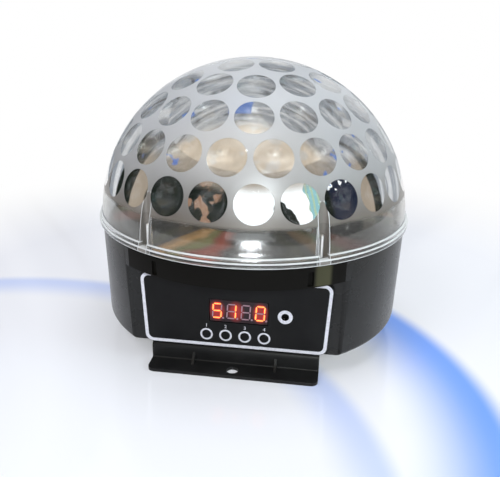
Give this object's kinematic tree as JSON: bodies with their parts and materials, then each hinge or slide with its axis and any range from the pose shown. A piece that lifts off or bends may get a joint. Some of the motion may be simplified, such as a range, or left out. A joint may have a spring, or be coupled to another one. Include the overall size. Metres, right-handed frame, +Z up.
{
  "type": "led effect light",
  "caption": "Black drum lamp with a clear dome of round lenses over a turning lens wheel, a front panel with display and buttons, rear sockets and a folded bracket.",
  "frame": {"origin": "middle of the whole part's footprint, at the underside of the bracket's feet", "axes": "+Z up along the dome's axis and the rotor's axis; -Y is the front with the control panel; +X is to the right as seen from the front"},
  "size_m": [0.2, 0.2, 0.1723],
  "materials": {
    "bracket_paint": "fine-grained black powder coat",
    "drum_plastic": "satin black moulding",
    "cover_plastic": "grained black moulding",
    "screw_steel": "bright zinc plate",
    "dome_clear": "clear moulded plastic, frosted between the lenses",
    "panel_print": "black panel with a printed pale border and plain rings",
    "display_red": "dark red window over seven-segment digits",
    "button_rubber": "black silicone rubber",
    "board_green": "green solder mask",
    "board_white": "white solder mask on an aluminium board",
    "microphone_metal": "drawn aluminium can",
    "plate_paint": "black powder coat",
    "socket_plastic": "black glass-filled plastic",
    "insert_plastic": "black insert with plated pins",
    "latch_steel": "pressed steel",
    "fuse_glass": "glass tube with plated end caps",
    "transformer_iron": "varnished core and taped coil",
    "capacitor_sleeve": "dark blue sleeve",
    "reflector_metal": "brushed aluminium",
    "sink_metal": "plain extruded aluminium",
    "motor_metal": "drawn steel can",
    "shaft_steel": "ground steel",
    "lens_clear": "clear moulded plastic"
  },
  "bodies": {
    "housing": {"mounting_bracket": "bracket_paint", "base_shell": "drum_plastic", "bottom_cover": "cover_plastic", "bracket_screw_1": "screw_steel", "bracket_screw_2": "screw_steel", "bottom_screw_1": "screw_steel", "bottom_screw_2": "screw_steel", "bottom_screw_3": "screw_steel", "bottom_screw_4": "screw_steel", "plate_screw_1": "screw_steel", "plate_screw_2": "screw_steel", "plate_screw_3": "screw_steel", "plate_screw_4": "screw_steel", "socket_screw_1": "screw_steel", "socket_screw_2": "screw_steel", "socket_screw_3": "screw_steel", "socket_screw_4": "screw_steel", "dome_screw_1": "screw_steel", "dome_screw_2": "screw_steel", "dome_screw_3": "screw_steel", "dome_screw_4": "screw_steel", "dome_screw_5": "screw_steel", "dome_screw_6": "screw_steel", "motor_screw_1": "screw_steel", "motor_screw_2": "screw_steel", "crystal_dome": "dome_clear", "control_panel": "panel_print", "display_module": "display_red", "control_board": "board_green", "power_board": "board_green", "led_board": "board_white", "microphone_capsule": "microphone_metal", "connector_plate": "plate_paint", "data_input_socket": "socket_plastic", "data_output_socket": "socket_plastic", "mains_inlet": "socket_plastic", "fuse_holder": "socket_plastic", "lens_holder": "socket_plastic", "terminal_block": "socket_plastic", "data_input_insert": "insert_plastic", "fuse": "fuse_glass", "transformer": "transformer_iron", "capacitor": "capacitor_sleeve", "reflector_tray": "reflector_metal", "heat_sink": "sink_metal", "motor_body": "motor_metal", "collimator_lenses": "lens_clear"},
    "rotor": {"motor_shaft": "shaft_steel", "rotor_hub": "socket_plastic", "lens_wheel": "lens_clear", "rotor_washer": "shaft_steel", "hub_screw": "screw_steel"},
    "latch": {"latch_tab": "latch_steel"},
    "cap": {"fuse_cap": "socket_plastic"},
    "button_1": {"button_1": "button_rubber"},
    "button_2": {"button_2": "button_rubber"},
    "button_3": {"button_3": "button_rubber"},
    "button_4": {"button_4": "button_rubber"}
  },
  "joints": [
    {"name": "rotor_spin", "type": "hinge", "parent": "housing", "child": "rotor", "pos_m": [0, 0, 0.0844], "axis": [0, 0, 1], "continuous": true},
    {"name": "button_1_press", "type": "slide", "parent": "housing", "child": "button_1", "axis": [0, 1, 0], "range_m": [0, 0.0005], "stiffness_N_per_m": 2000, "springref_m": -0.0003},
    {"name": "button_2_press", "type": "slide", "parent": "housing", "child": "button_2", "axis": [0, 1, 0], "range_m": [0, 0.0005], "stiffness_N_per_m": 2000, "springref_m": -0.0003},
    {"name": "button_3_press", "type": "slide", "parent": "housing", "child": "button_3", "axis": [0, 1, 0], "range_m": [0, 0.0005], "stiffness_N_per_m": 2000, "springref_m": -0.0003},
    {"name": "button_4_press", "type": "slide", "parent": "housing", "child": "button_4", "axis": [0, 1, 0], "range_m": [0, 0.0005], "stiffness_N_per_m": 2000, "springref_m": -0.0003},
    {"name": "latch_press", "type": "slide", "parent": "housing", "child": "latch", "axis": [0, -1, 0], "range_m": [0, 0.0015], "stiffness_N_per_m": 800, "springref_m": -0.0005},
    {"name": "fuse_cap_turn", "type": "hinge", "parent": "housing", "child": "cap", "pos_m": [-0.046, 0.0768, 0.0351], "axis": [0, 1, 0], "range_deg": [0, 90]}
  ]
}
